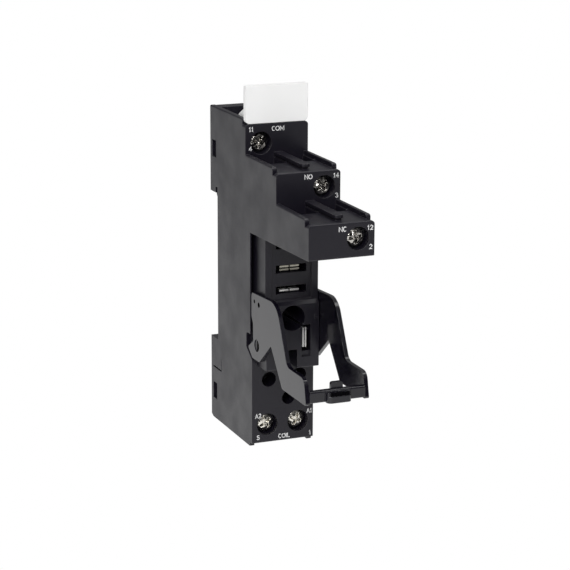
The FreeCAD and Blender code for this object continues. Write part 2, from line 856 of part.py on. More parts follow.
def cage(name):
    """Clamp cage: a square tube round the strip's end, with the screw's threaded hole in front."""
    side, front, height, _ = terminals[name]
    x = side * screw_side
    y0 = front + cage_place
    y1 = y0 + cage_length
    z0, z1 = height - cage_height / 2, height + cage_height / 2
    outer = [(x - cage_half, y0), (x + cage_half, y0),
             (x + cage_half, y1, cage_round), (x - cage_half, y1, cage_round)]
    room = cage_half - cage_wall
    ya, yb = y0 + cage_front_wall, y1 - cage_wall
    body = slab_z(outer, z0, z1).cut(box(x - room, x + room, ya, yb, z0 - 1, z1 + 1))
    return body.cut(rod_y(x, height, shank_radius + thread_clearance, y0 - 1, ya + cage_wall))


def main():
    """Build every piece and write it."""
    os.makedirs("parts", exist_ok=True)
    pieces = {
        "housing": housing(),
        "upper_rear_cover": upper_cover(),
        "lower_rear_cover": lower_cover(),
        "rail_latch": latch(),
        "latch_spring": latch_spring(),
        "marker_tag": tag(),
        "lever": lever(),
    }
    for i, name in enumerate(terminals):
        pieces[name + "_screw"] = screw(name, first_screw_turn + next_screw_turn * i)
        pieces[name + "_cage"] = cage(name)
        pieces[name + "_contact"] = contact(name)
    for name, shape in pieces.items():
        shape.exportStep("parts/" + name + ".step")
        print(name, shape.isValid(), len(shape.Solids), round(shape.Volume, 2))


main()
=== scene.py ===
import math
import bpy
import numpy as np
from mathutils import Matrix


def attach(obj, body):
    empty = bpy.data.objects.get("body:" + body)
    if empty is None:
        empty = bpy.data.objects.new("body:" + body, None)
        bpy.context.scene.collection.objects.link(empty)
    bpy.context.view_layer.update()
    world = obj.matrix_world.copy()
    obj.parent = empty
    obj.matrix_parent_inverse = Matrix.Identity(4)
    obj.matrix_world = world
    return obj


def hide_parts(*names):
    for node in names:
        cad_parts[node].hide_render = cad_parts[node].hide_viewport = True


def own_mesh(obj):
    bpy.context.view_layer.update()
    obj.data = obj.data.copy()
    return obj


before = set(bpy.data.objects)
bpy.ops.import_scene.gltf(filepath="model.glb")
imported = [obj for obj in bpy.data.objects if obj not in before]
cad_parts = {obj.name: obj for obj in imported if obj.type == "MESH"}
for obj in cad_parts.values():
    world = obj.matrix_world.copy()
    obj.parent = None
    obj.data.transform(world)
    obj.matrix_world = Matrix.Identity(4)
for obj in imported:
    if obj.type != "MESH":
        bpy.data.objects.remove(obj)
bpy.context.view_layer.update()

# Black mouldings: housing, rear covers and rail latch.
# Glass-filled polyamide, injection moulded in a spark-eroded tool, so the skin is a fine even matte
# with softly rounded edges and faint flow marks.


def node_group(name, inputs, outputs):
    """Empty shader node group with the given sockets; returns the group and its two end nodes."""
    group = bpy.data.node_groups.new(name, "ShaderNodeTree")
    for label, kind, value in inputs:
        socket = group.interface.new_socket(label, in_out="INPUT", socket_type=kind)
        socket.default_value = value
    for label, kind in outputs:
        group.interface.new_socket(label, in_out="OUTPUT", socket_type=kind)
    return group, group.nodes.new("NodeGroupInput"), group.nodes.new("NodeGroupOutput")


def add(tree, kind, **settings):
    """New node of that kind with its plain settings; `fill` sets input sockets by name or number."""
    node = tree.nodes.new(kind)
    fill = settings.pop("fill", {})
    for key, value in settings.items():
        setattr(node, key, value)
    for socket, value in fill.items():
        node.inputs[socket].default_value = value
    return node


def new_finish(name):
    """New material, with its node tree and the shader of its surface."""
    material = bpy.data.materials.new(name)
    material.use_nodes = True
    return material, material.node_tree, material.node_tree.nodes["Principled BSDF"]


def skin_group():
    """Moulded skin: fine grain and slow waves as a bump over rounded edges, a mask of the edges, and a slow
    blotch mask for the colour. The edge mask grows from 0 to 1 as the cosine between the rounded and the
    true normal falls from 0.999 to 0.86."""
    group, given, out = node_group(
        "moulded skin",
        [("Grain Size", "NodeSocketFloat", 0.00012), ("Grain Height", "NodeSocketFloat", 0.00001),
         ("Edge Radius", "NodeSocketFloat", 0.00015)],
        [("Normal", "NodeSocketVector"), ("Edge", "NodeSocketFloat"), ("Blotch", "NodeSocketFloat")])
    link = group.links.new
    place = add(group, "ShaderNodeTexCoord")
    inverse = add(group, "ShaderNodeMath", operation="DIVIDE", fill={0: 1.0})
    link(given.outputs["Grain Size"], inverse.inputs[1])
    grain = add(group, "ShaderNodeTexNoise", fill={"Detail": 3.0, "Roughness": 0.65})
    link(place.outputs["Object"], grain.inputs["Vector"])
    link(inverse.outputs[0], grain.inputs["Scale"])
    waves = add(group, "ShaderNodeTexNoise", fill={"Scale": 160.0, "Detail": 2.0})
    link(place.outputs["Object"], waves.inputs["Vector"])
    soft = add(group, "ShaderNodeBevel", samples=4)
    link(given.outputs["Edge Radius"], soft.inputs["Radius"])
    slow = add(group, "ShaderNodeBump", fill={"Strength": 0.05, "Distance": 0.0003})
    link(waves.outputs["Fac"], slow.inputs["Height"])
    link(soft.outputs["Normal"], slow.inputs["Normal"])
    fine = add(group, "ShaderNodeBump", fill={"Strength": 1.0})
    link(given.outputs["Grain Height"], fine.inputs["Distance"])
    link(grain.outputs["Fac"], fine.inputs["Height"])
    link(slow.outputs["Normal"], fine.inputs["Normal"])
    flat = add(group, "ShaderNodeNewGeometry")
    cosine = add(group, "ShaderNodeVectorMath", operation="DOT_PRODUCT")
    link(soft.outputs["Normal"], cosine.inputs[0])
    link(flat.outputs["True Normal"], cosine.inputs[1])
    edge_wear_and_highlight = add(group, "ShaderNodeMapRange", fill={"From Min": 0.999, "From Max": 0.86})
    link(cosine.outputs["Value"], edge_wear_and_highlight.inputs["Value"])
    link(fine.outputs["Normal"], out.inputs["Normal"])
    link(edge_wear_and_highlight.outputs["Result"], out.inputs["Edge"])
    link(waves.outputs["Fac"], out.inputs["Blotch"])
    return group


skin = skin_group()


def moulding(name, dark, light, edge_wear_and_highlight, gloss, ior, grain_size, grain_height, edge_radius):
    """Moulded plastic: blotches between two tones, paler edges that are wear and painted highlight,
    roughness that follows the blotches.
    """
    material, tree, shader = new_finish(name)
    link = tree.links.new
    surface = add(tree, "ShaderNodeGroup", node_tree=skin, fill={
        "Grain Size": grain_size, "Grain Height": grain_height, "Edge Radius": edge_radius})
    tone = add(tree, "ShaderNodeMix", data_type="RGBA", fill={"A": (*dark, 1.0), "B": (*light, 1.0)})
    # paler tone on the edges: wear together with a painted highlight
    worn_and_lit = add(tree, "ShaderNodeMix", data_type="RGBA", fill={"B": (*edge_wear_and_highlight, 1.0)})
    rough = add(tree, "ShaderNodeMapRange", fill={
        "From Min": 0.3, "From Max": 0.7, "To Min": gloss - 0.05, "To Max": gloss + 0.06})
    link(surface.outputs["Blotch"], tone.inputs["Factor"])
    link(tone.outputs["Result"], worn_and_lit.inputs["A"])
    link(surface.outputs["Edge"], worn_and_lit.inputs["Factor"])
    link(worn_and_lit.outputs["Result"], shader.inputs["Base Color"])
    link(surface.outputs["Blotch"], rough.inputs["Value"])
    link(rough.outputs["Result"], shader.inputs["Roughness"])
    link(surface.outputs["Normal"], shader.inputs["Normal"])
    shader.inputs["IOR"].default_value = ior
    return material


def dress(node, material):
    """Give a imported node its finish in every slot."""
    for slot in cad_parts[node].material_slots:
        slot.material = material


black = moulding("black moulding", dark=(0.0042, 0.0033, 0.0076), light=(0.006, 0.0049, 0.0102),
                 edge_wear_and_highlight=(0.028, 0.026, 0.033), gloss=0.4, ior=1.5,
                 grain_size=0.00011, grain_height=0.000008, edge_radius=0.00018)
for node in ("housing", "upper_rear_cover", "lower_rear_cover", "rail_latch"):
    dress(node, black)

# Holding lever: a thin black moulding of smoother, tougher plastic, snapped on the seat's pivots.
# The sunk patch with upright ribs for the thumb, in the upper half of its lip, is bump in the material, with
# a near-black tone there as painted shade of the recess, because the lip's front face lies at the front limit
# of the whole socket.

grip_sides = (("X", 0.0, 0.003), ("Z", -0.0181, 0.00066), ("Y", -0.0576, 0.00045))
grip_core = 0.7
rib_pitch = 0.0012
rib_top = -0.35
grip_shade_tone, grip_rough = (0.004, 0.0035, 0.005, 1.0), 0.7


def thumb_group():
    """Thumb grip on the lip's front. Mask: the product, over X, Z and Y, of a smooth step of the distance
    from the grip's middle, 1 within 0.7 of the half size and 0 beyond all of it. Height: the mask times a
    cosine wave along X, from -1 in the grooves to -0.35 on the ribs."""
    group, _, out = node_group(
        "thumb grip", [], [("Mask", "NodeSocketFloat"), ("Height", "NodeSocketFloat")])
    link = group.links.new
    place = add(group, "ShaderNodeTexCoord")
    split = add(group, "ShaderNodeSeparateXYZ")
    link(place.outputs["Object"], split.inputs["Vector"])
    steps = []
    for axis, middle, half in grip_sides:
        off = add(group, "ShaderNodeMath", operation="SUBTRACT", fill={1: middle})
        far = add(group, "ShaderNodeMath", operation="ABSOLUTE")
        step = add(group, "ShaderNodeMapRange", interpolation_type="SMOOTHSTEP", fill={
            "From Min": half, "From Max": half * grip_core, "To Min": 0.0, "To Max": 1.0})
        link(split.outputs[axis], off.inputs[0])
        link(off.outputs[0], far.inputs[0])
        link(far.outputs[0], step.inputs["Value"])
        steps.append(step.outputs["Result"])
    mask = steps[0]
    for step in steps[1:]:
        both = add(group, "ShaderNodeMath", operation="MULTIPLY")
        link(mask, both.inputs[0])
        link(step, both.inputs[1])
        mask = both.outputs[0]
    angle = add(group, "ShaderNodeMath", operation="MULTIPLY", fill={1: 2 * math.pi / rib_pitch})
    wave = add(group, "ShaderNodeMath", operation="COSINE")
    rib = add(group, "ShaderNodeMapRange", fill={
        "From Min": -1.0, "From Max": 1.0, "To Min": -1.0, "To Max": rib_top})
    sink = add(group, "ShaderNodeMath", operation="MULTIPLY")
    link(split.outputs["X"], angle.inputs[0])
    link(angle.outputs[0], wave.inputs[0])
    link(wave.outputs[0], rib.inputs["Value"])
    link(rib.outputs["Result"], sink.inputs[0])
    link(mask, sink.inputs[1])
    link(mask, out.inputs["Mask"])
    link(sink.outputs[0], out.inputs["Height"])
    return group


lever_black = moulding("lever moulding", dark=(0.003, 0.0024, 0.006), light=(0.0045, 0.0037, 0.0082),
                       edge_wear_and_highlight=(0.02, 0.02, 0.025), gloss=0.16, ior=1.58,
                       grain_size=0.00016, grain_height=0.000004, edge_radius=0.00018)
tree = lever_black.node_tree
shader = tree.nodes["Principled BSDF"]
thumb = add(tree, "ShaderNodeGroup", node_tree=thumb_group())
sunk = add(tree, "ShaderNodeBump", fill={"Strength": 1.0, "Distance": 0.0004})
tree.links.new(thumb.outputs["Height"], sunk.inputs["Height"])
tree.links.new(shader.inputs["Normal"].links[0].from_socket, sunk.inputs["Normal"])
tree.links.new(sunk.outputs["Normal"], shader.inputs["Normal"])
# near-black metallic tone inside the grip mask: painted shade of the sunk patch
tree.links.new(thumb.outputs["Mask"], shader.inputs["Metallic"])
for socket, kind, sunk_value in (("Base Color", "RGBA", grip_shade_tone), ("Roughness", "FLOAT", grip_rough)):
    mix = add(tree, "ShaderNodeMix", data_type=kind, fill={"B": sunk_value})
    tree.links.new(thumb.outputs["Mask"], mix.inputs["Factor"])
    tree.links.new(shader.inputs[socket].links[0].from_socket, mix.inputs["A"])
    tree.links.new(mix.outputs["Result"], shader.inputs[socket])
dress("lever", lever_black)

# Marker tag: a white moulding of smooth plastic, pushed into the pocket behind the upper screw.
# Its mould is polished, so its grain is wider and shallower than the housing's.

tag_white = moulding("white tag", dark=(0.88, 0.88, 0.875), light=(0.91, 0.91, 0.905),
                     edge_wear_and_highlight=(0.93, 0.93, 0.92), gloss=0.42, ior=1.46,
                     grain_size=0.0002, grain_height=0.000004, edge_radius=0.0002)
dress("marker_tag", tag_white)

# Clamp cages and contact strips: bent from sheet, the cages zinc plated and the strips tinned.
# Barrel plating leaves fine scratches and small tone changes, and painted shade darkens the hollows.
# The strip of the COM terminal has a darker, yellower copy of the tin finish; its darkness is painted shade.


def plated(name, low, high, rough_low, rough_high, scratch, edge_radius, dent=0.0,
           hollow_low=0.3, hollow_high=0.75):
    """Plated metal: a tone that wanders, scratches stretched along X, slow dents, painted shade in the
    hollows.
    """
    material, tree, shader = new_finish(name)
    link = tree.links.new
    place = add(tree, "ShaderNodeTexCoord")
    cloud = add(tree, "ShaderNodeTexNoise", fill={"Scale": 900.0, "Detail": 3.0})
    link(place.outputs["Object"], cloud.inputs["Vector"])
    stretch = add(tree, "ShaderNodeMapping", fill={"Scale": (1500.0, 16000.0, 16000.0)})
    link(place.outputs["Object"], stretch.inputs["Vector"])
    lines = add(tree, "ShaderNodeTexNoise", fill={"Scale": 1.0, "Detail": 2.0})
    link(stretch.outputs["Vector"], lines.inputs["Vector"])
    tone = add(tree, "ShaderNodeMix", data_type="RGBA", fill={"A": (*low, 1.0), "B": (*high, 1.0)})
    link(cloud.outputs["Fac"], tone.inputs["Factor"])
    # ambient occlusion darkens the base colour in the hollows: painted shade
    hollow = add(tree, "ShaderNodeAmbientOcclusion", samples=8, fill={"Distance": 0.0006})
    hollow_shade = add(tree, "ShaderNodeMapRange", fill={
        "From Min": hollow_low, "From Max": hollow_high, "To Min": 0.04, "To Max": 1.0})
    link(hollow.outputs["AO"], hollow_shade.inputs["Value"])
    shaded_tone = add(tree, "ShaderNodeMix", data_type="RGBA", blend_type="MULTIPLY", fill={"Factor": 1.0})
    link(tone.outputs["Result"], shaded_tone.inputs["A"])
    link(hollow_shade.outputs["Result"], shaded_tone.inputs["B"])
    link(shaded_tone.outputs["Result"], shader.inputs["Base Color"])
    rough = add(tree, "ShaderNodeMapRange", fill={
        "From Min": 0.3, "From Max": 0.7, "To Min": rough_low, "To Max": rough_high})
    link(cloud.outputs["Fac"], rough.inputs["Value"])
    link(rough.outputs["Result"], shader.inputs["Roughness"])
    soft = add(tree, "ShaderNodeBevel", samples=6, fill={"Radius": edge_radius})
    slow = add(tree, "ShaderNodeTexNoise", fill={"Scale": 850.0, "Detail": 0.6})
    link(place.outputs["Object"], slow.inputs["Vector"])
    dents = add(tree, "ShaderNodeBump", fill={"Strength": 1.0, "Distance": dent})
    link(slow.outputs["Fac"], dents.inputs["Height"])
    link(soft.outputs["Normal"], dents.inputs["Normal"])
    bump = add(tree, "ShaderNodeBump", fill={"Strength": 1.0, "Distance": scratch})
    link(lines.outputs["Fac"], bump.inputs["Height"])
    link(dents.outputs["Normal"], bump.inputs["Normal"])
    link(bump.outputs["Normal"], shader.inputs["Normal"])
    shader.inputs["Metallic"].default_value = 1.0
    return material


zinc = plated("zinc cage", low=(0.5, 0.5, 0.5), high=(0.68, 0.68, 0.67), rough_low=0.28, rough_high=0.42,
              scratch=0.000008, edge_radius=0.0001)
tinned = plated("tinned strip", low=(0.9, 0.89, 0.87), high=(0.98, 0.97, 0.95),
                rough_low=0.3, rough_high=0.42, scratch=0.000001, edge_radius=0.0002)
# darker copy of the tinned finish for the COM strip: its darkness is painted shade
shaded_tinned = plated("shaded tinned strip", low=(0.42, 0.4, 0.33), high=(0.6, 0.58, 0.5),
                     rough_low=0.3, rough_high=0.42, scratch=0.000004, edge_radius=0.0002)
for terminal in ("com", "no", "nc", "a1", "a2"):
    dress(terminal + "_cage", zinc)
    dress(terminal + "_contact", shaded_tinned if terminal == "com" else tinned)

# Terminal screws: cold-headed and thread-rolled steel, nickel plated, with worn cross recesses.
# Each is one skin of head, recess, neck and thread, in place of its plain solid, and turned its own way.
# The two at the coil terminals are less dented and have a brighter copy of the nickel finish: painted light.

com_face = -0.0189
no_face = -0.0382
nc_face = -0.0573
coil_face = -0.0231
head_radius = 0.00208
head_crown = 0.0005
rim_round = 0.00013
crown_rows = 44
behind_face = 0.0013
recess_reach = 0.0016
recess_depth = 0.00098
recess_rise = 0.5
wing_half_width = 0.00046
wing_taper = 0.08
wing_flank = 0.00014
wing_end = 0.00028
core_radius = 0.00062
core_flank = 0.0002
screw_length = 0.0114
neck_end = 0.00195
thread_start = 0.002
thread_stop = screw_length - 0.0002
tip_start = screw_length - 0.0001
thread_pitch = 0.0005
thread_radius = 0.00144
thread_cut = 0.00028
thread_slope, thread_crest = 1.25, 0.1
rows_per_pitch = 8
blank_cut = 0.0002
run_in_start = 0.0019
run_in = 0.0006
run_out = 0.0005
head_side = [(head_radius - 0.00005, 0.00051), (head_radius - 0.00001, 0.00058), (head_radius, 0.0007),
             (head_radius, 0.0012), (0.00203, 0.0014), (0.00195, 0.00152), (0.0018, 0.00157)]
head_underside = [(0.0015, 0.0016), (0.00128, 0.00162), (0.0012, 0.00172), (0.00119, 0.0019)]
screw_tip = [(0.0011, screw_length - 0.00004), (0.0009, screw_length), (0.0, screw_length)]
screw_columns = 96
first_turn, turn_step = 20, 31


def skin_mesh(name, points, material, smooth=True):
    """Mesh from a grid of points, rows by columns, whose columns close on themselves.
    The first and last row may each be one repeated point, a pole: it becomes a fan of triangles."""
    rows, columns = points.shape[:2]
    flat = points.reshape(-1, 3)
    index = np.arange(rows * columns).reshape(rows, columns)
    index = np.concatenate([index, index[:, :1]], axis=1)
    for row in (0, rows - 1):
        if np.allclose(points[row], points[row, :1]):
            index[row, :] = index[row, 0]
    faces = np.stack([index[:-1, :-1], index[:-1, 1:], index[1:, 1:], index[1:, :-1]], axis=-1).reshape(-1, 4)
    used, faces = np.unique(faces, return_inverse=True)
    faces = faces.reshape(-1, 4)
    corners = [list(dict.fromkeys(face)) for face in faces.tolist()]
    mesh = bpy.data.meshes.new(name)
    mesh.from_pydata(flat[used].tolist(), [], corners)
    mesh.polygons.foreach_set("use_smooth", [smooth] * len(mesh.polygons))
    mesh.materials.append(material)
    piece = bpy.data.objects.new(name, mesh)
    bpy.context.scene.collection.objects.link(piece)
    return piece


def ease(value):
    """Smooth step: 3t² - 2t³ of the value held between 0 and 1."""
    t = np.clip(value, 0.0, 1.0)
    return t * t * (3.0 - 2.0 * t)


def recess(across, up, turn):
    """Depth of the cross recess at a point of the head: four wings whose flanks lean and whose floor rises
    outwards, with a round core. Depth: 0.98 mm, times the larger of the wings' and the core's smooth
    flanks, times the smooth ends of the wings, times 1 less half of (distance / reach) squared."""
    u = np.abs(across * math.cos(turn) + up * math.sin(turn))
    v = np.abs(up * math.cos(turn) - across * math.sin(turn))
    r = np.hypot(across, up)
    near, far = np.minimum(u, v), np.maximum(u, v)
    flank = ease((wing_half_width - wing_taper * far - near) / wing_flank)
    core = ease((core_radius - r) / core_flank)
    end = ease((recess_reach - far) / wing_end)
    return recess_depth * np.maximum(flank, core) * end * (1.0 - recess_rise * (r / recess_reach) ** 2)


def screw_points(turn):
    """Profile of radius and depth, from the crown's top to the tip, carried round the axis. The crown is
    the cap of a ball, sunk by the recess. Thread: the radius falls below its crest by 0.28 mm times the
    smooth step of 1.25 wave - 0.1, where wave is a triangle wave of (depth / pitch - angle / 2 pi). At both
    ends this passes into a plain blank 0.2 mm under the crest."""
    ball = (head_radius ** 2 + head_crown ** 2) / (2 * head_crown)
    crown = np.linspace(0.0, head_radius - rim_round, crown_rows)
    head_top = np.stack([crown, ball - np.sqrt(ball ** 2 - crown ** 2)], axis=1)
    rows = int(round((thread_stop - thread_start) / thread_pitch * rows_per_pitch))
    shank = np.stack([np.full(rows, thread_radius), np.linspace(thread_start, thread_stop, rows)], axis=1)
    radius, depth = np.vstack([head_top, head_side, head_underside, shank, screw_tip]).T
    angle = np.linspace(0.0, 2 * math.pi, screw_columns, endpoint=False)
    threaded = ease((depth - run_in_start) / run_in) * ease((tip_start - depth) / run_out)
    wave = np.abs(2.0 * np.mod(depth[:, None] / thread_pitch - angle / (2 * math.pi), 1.0) - 1.0)
    groove = thread_cut * ease(thread_slope * wave - thread_crest)
    cut = groove * threaded[:, None] + blank_cut * (1.0 - threaded[:, None])
    on_shank = (depth > neck_end) & (depth < tip_start)
    r = radius[:, None] - np.where(on_shank[:, None], cut, 0.0)
    across, up = r * np.cos(angle), r * np.sin(angle)
    on_crown = np.arange(len(depth)) < crown_rows
    sunk = np.where(on_crown[:, None], recess(across, up, turn), 0.0)
    return np.stack([across, depth[:, None] + sunk, -up], axis=-1)


nickel = plated("nickel screw", low=(0.42, 0.4, 0.375), high=(0.84, 0.81, 0.76),
                rough_low=0.02, rough_high=0.06, scratch=0.000001, edge_radius=0.00003,
                dent=0.0006, hollow_low=0.55, hollow_high=0.95)
# brighter copy of the nickel finish for the coil screws: painted light
lit_nickel = plated("lit nickel screw", low=(0.82, 0.79, 0.7), high=(0.97, 0.94, 0.87),
                       rough_low=0.1, rough_high=0.2, scratch=0.000001, edge_radius=0.00003,
                       dent=0.0003, hollow_low=0.5, hollow_high=0.85)
screws = [("com", -0.004, com_face, 0.0331), ("no", 0.004, no_face, 0.0257), ("nc", 0.004, nc_face, 0.0176),
          ("a1", 0.004, coil_face, -0.0353), ("a2", -0.004, coil_face, -0.0353)]
for i, (terminal, x, face, z) in enumerate(screws):
    turn = math.radians(first_turn + turn_step * i)
    points = screw_points(turn) + np.array([x, face + behind_face, z])
    screw = skin_mesh(terminal + "_screw_fine", points, lit_nickel if face == coil_face else nickel)
    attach(screw, terminal + "_screw")
    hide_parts(terminal + "_screw")

# Latch spring: round hard-drawn steel wire, coiled with closed ends, lying in the latch's window.
# On the real socket it shortens against the fixed stop as the latch is drawn down; here it rides the latch
# unchanged.

spring_wire = 0.00021
spring_radius = 0.00105
spring_turns = 5.0
spring_low, spring_high = -0.0315, -0.0255
spring_axis_y = 0.0031
spring_clear = 0.00001
closed_share, open_share = 0.1, 0.8
lead_ease = 0.35
taper_share = 0.006
spring_rows, spring_columns = 260, 14


def spring_points():
    """Ring of the wire's radius carried along the coil, across its path, and drawn to a point at both ends.
    The path turns evenly about the axis. Its height stays level over the first and last tenth of the wire,
    and between them climbs by 0.65 of a straight line plus 0.35 of a smooth step."""
    along = np.linspace(0.0, 1.0, spring_rows)
    part = (along - closed_share) / open_share
    climb = ease(part) * lead_ease + (1.0 - lead_ease) * np.clip(part, 0.0, 1.0)
    angle = 2 * math.pi * spring_turns * along
    height = spring_high - spring_low - 2 * spring_wire - 2 * spring_clear
    rise = spring_low + spring_wire + spring_clear + climb * height
    middle = np.stack([spring_radius * np.cos(angle), spring_axis_y + spring_radius * np.sin(angle), rise],
                      axis=-1)
    forward = np.gradient(middle, axis=0)
    forward /= np.linalg.norm(forward, axis=1, keepdims=True)
    outward = np.stack([np.cos(angle), np.sin(angle), np.zeros_like(angle)], axis=-1)
    upward = np.cross(outward, forward)
    around = np.linspace(0.0, 2 * math.pi, spring_columns, endpoint=False)[None, :, None]
    thin = np.sqrt(np.clip(np.minimum(along, 1.0 - along) / taper_share, 0.0, 1.0))
    ring = np.cos(around) * outward[:, None] - np.sin(around) * upward[:, None]
    return middle[:, None] + spring_wire * thin[:, None, None] * ring


steel_wire = plated("spring wire", low=(0.4, 0.4, 0.41), high=(0.55, 0.55, 0.56),
                    rough_low=0.25, rough_high=0.35, scratch=0.000002, edge_radius=0.00002)
spring = skin_mesh("latch_spring_round", spring_points(), steel_wire)
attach(spring, "latch")
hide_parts("latch_spring")
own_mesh(spring)

# Pin marks: two small round dents that the ejector pins of the mould leave near the top of each lever arm.
# Each is shown by a thin cup with a lip, standing on the outer face of the arm; its near-black finish is
# painted shade of the dent.

# near-black finish for the pin marks and pivot gaps: painted shade
shadow = moulding("painted shade black", dark=(0.0005, 0.0005, 0.0006), light=(0.0008, 0.0008, 0.001),
                  edge_wear_and_highlight=(0.002, 0.002, 0.002), gloss=0.9, ior=1.02,
                  grain_size=0.0001, grain_height=0.000002, edge_radius=0.00003)
arm_outside = 0.00785
cup = [(0.0, 0.000004), (0.7, 0.000004), (0.84, 0.00001), (0.93, 0.000012), (1.0, 0.000002),
       (1.0, -0.00001), (0.0, -0.00001)]
cup_columns = 40
pin_marks = [(-0.0243, -0.00385, 0.00046), (-0.0271, -0.0041, 0.00064)]


def pin_mark_points(side, y, z, radius):
    """Section of share of the radius and rise from the arm, carried round an axis along X at (y, z)."""
    share, rise = np.array(cup).T[:, :, None]
    angle = np.linspace(0.0, 2 * math.pi, cup_columns, endpoint=False)
    x = np.broadcast_to(side * (arm_outside + rise), (len(cup), cup_columns))
    ring = radius * share
    return np.stack([x, y + ring * np.cos(angle), z - side * ring * np.sin(angle)], axis=-1)


for side, name in ((-1, "left"), (1, "right")):
    for i, (y, z, radius) in enumerate(pin_marks):
        dent = skin_mesh(f"pin_mark_{name}_{i}", pin_mark_points(side, y, z, radius), shadow)
        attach(dent, "lever")

# Pivot gap: in front of each pivot pin its snap-in ramp falls away from the arm's hole, a dark crescent.
# It is shown by a sickle of painted shade inside the pin's circle, standing on the pin's end face, almost as
# high as the outside of the arm.

pin_end = 0.0077
pin_radius = 0.00146
pin_y, pin_z = -0.0258, -0.0144
sickle_inner = 0.08
sickle_lift = 0.00008
sickle_crown = 0.00006
sickle_root = 0.000005
sickle_rows, sickle_columns = 33, 7


def sickle_points(side):
    """Loops across the sickle, one at each angle of a half circle. Its outer edge is the pin's circle, and
    its inner edge an ellipse 0.08 times as deep. The front stands off the pin's end by 0.08 mm plus
    0.06 mm * (1 - across⁴), with across from -1 to 1, and the back lies in the pin."""
    angle = np.linspace(-0.5 * math.pi, 0.5 * math.pi, sickle_rows)
    across = np.linspace(-1.0, 1.0, sickle_columns)
    rim = np.stack([-pin_radius * np.cos(angle), pin_radius * np.sin(angle)], axis=-1)
    inner = rim * (sickle_inner, 1.0)
    share = (across[None, :, None] + 1.0) / 2.0
    y, z = np.moveaxis(inner[:, None] * (1.0 - share) + rim[:, None] * share + (pin_y, pin_z), -1, 0)
    lift = np.broadcast_to(sickle_crown * (1.0 - across ** 4) + sickle_lift, y.shape)
    front = np.stack([side * (pin_end + lift), y, z], axis=-1)
    back = front[:, ::-1].copy()
    back[..., 0] = side * (pin_end - sickle_root)
    loops = np.concatenate([front, back], axis=1)
    loops[[0, -1], :, 0] = side * pin_end
    return loops[:, ::-side]


for side, name in ((-1, "left"), (1, "right")):
    sickle = skin_mesh(f"pivot_gap_shade_{name}", sickle_points(side), shadow)
    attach(sickle, "socket")

# Tag gussets: two ribs of the tag's own white plastic, behind it, that brace it in its pocket.
# Each is a sloping outline swept sideways, rounded over at its two faces.

gusset_inner, gusset_outer = 0.0054, 0.0066
gusset = [(-0.0176, 0.0362), (-0.0176, 0.0413), (-0.0152, 0.041), (-0.0134, 0.0404), (-0.0116, 0.0395),
          (-0.0106, 0.0388), (-0.0102, 0.038), (-0.0102, 0.0364), (-0.0104, 0.0362)]
rounding = [(0.0, 0.0), (0.0, 0.9), (0.03, 0.95), (0.1, 0.985), (0.2, 1.0)]


def gusset_points(side):
    """Outline in Y and Z drawn in towards its middle by a factor that depends on the share of the way
    across the rib, in X. The factors of the first fifth are mirrored in the last."""
    outline = np.array(gusset)
    middle = outline.mean(axis=0)
    share, swell = np.array(rounding + [(1.0 - across, size) for across, size in rounding[::-1]]).T
    y, z = np.moveaxis(middle + swell[:, None, None] * (outline - middle), -1, 0)
    x = np.broadcast_to(side * (gusset_inner + (gusset_outer - gusset_inner) * share)[:, None], y.shape)
    return np.stack([x, y, z], axis=-1)[:, ::side]


for side, name in ((-1, "left"), (1, "right")):
    brace = skin_mesh(f"tag_gusset_{name}", gusset_points(side), tag_white, smooth=False)
    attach(brace, "socket")

# Terminal marks: white letters and numbers, pad printed on the front faces.
# Each is a flat glyph a hundredth of a millimetre thick, lying on the moulding.

ink, tree, shader = new_finish("white ink")
speckle = add(tree, "ShaderNodeTexNoise", fill={"Scale": 5000.0, "Detail": 2.0})
place = add(tree, "ShaderNodeTexCoord")
tone = add(tree, "ShaderNodeMix", data_type="RGBA", fill={
    "A": (0.72, 0.72, 0.72, 1.0), "B": (0.9, 0.9, 0.9, 1.0)})
tree.links.new(place.outputs["Object"], speckle.inputs["Vector"])
tree.links.new(speckle.outputs["Fac"], tone.inputs["Factor"])
tree.links.new(tone.outputs["Result"], shader.inputs["Base Color"])
shader.inputs["Roughness"].default_value = 0.6

cap_height = 0.00118
stroke = 0.00018
mark_film = 0.00001
letter_gap = 0.28
letter_width = 0.7
mitre_limit = 0.55
arc_points = 13


def bend(x, y, wide, tall, start, end):
    """Arc of an ellipse in a glyph's unit square, from one angle to another in degrees."""
    angle = np.radians(np.linspace(start, end, arc_points))
    return np.stack([x + wide * np.cos(angle), y + tall * np.sin(angle)], axis=1).tolist()


glyphs = {
    "1": [[(0.05, 0.78), (0.5, 1.0), (0.5, 0.0)], [(0.22, 0.0), (0.78, 0.0)]],
    "2": [bend(0.5, 0.68, 0.45, 0.32, 160, -20) + [(0.05, 0.0), (0.98, 0.0)]],
    "3": [bend(0.45, 0.75, 0.42, 0.25, 150, -80), bend(0.45, 0.27, 0.5, 0.27, 90, -150)],
    "4": [[(0.72, 0.0), (0.72, 1.0), (0.0, 0.3), (1.0, 0.3)]],
    "5": [[(0.9, 1.0), (0.15, 1.0), (0.1, 0.52)] + bend(0.45, 0.31, 0.5, 0.31, 125, -145)],
    "A": [[(0.0, 0.0), (0.5, 1.0), (1.0, 0.0)], [(0.18, 0.32), (0.82, 0.32)]],
    "C": [bend(0.55, 0.5, 0.53, 0.5, 58, 302)],
    "I": [[(0.0, 0.0), (0.0, 1.0)]],
    "L": [[(0.0, 1.0), (0.0, 0.0), (1.0, 0.0)]],
    "M": [[(0.0, 0.0), (0.0, 1.0), (0.5, 0.25), (1.0, 1.0), (1.0, 0.0)]],
    "N": [[(0.0, 0.0), (0.0, 1.0), (1.0, 0.0), (1.0, 1.0)]],
    "O": [bend(0.5, 0.5, 0.52, 0.5, 90, 450)],
}
widths = {"1": 0.42, "I": 0.1, "M": 1.05, "O": 1.0, "C": 0.78, "N": 0.85, "A": 0.85}


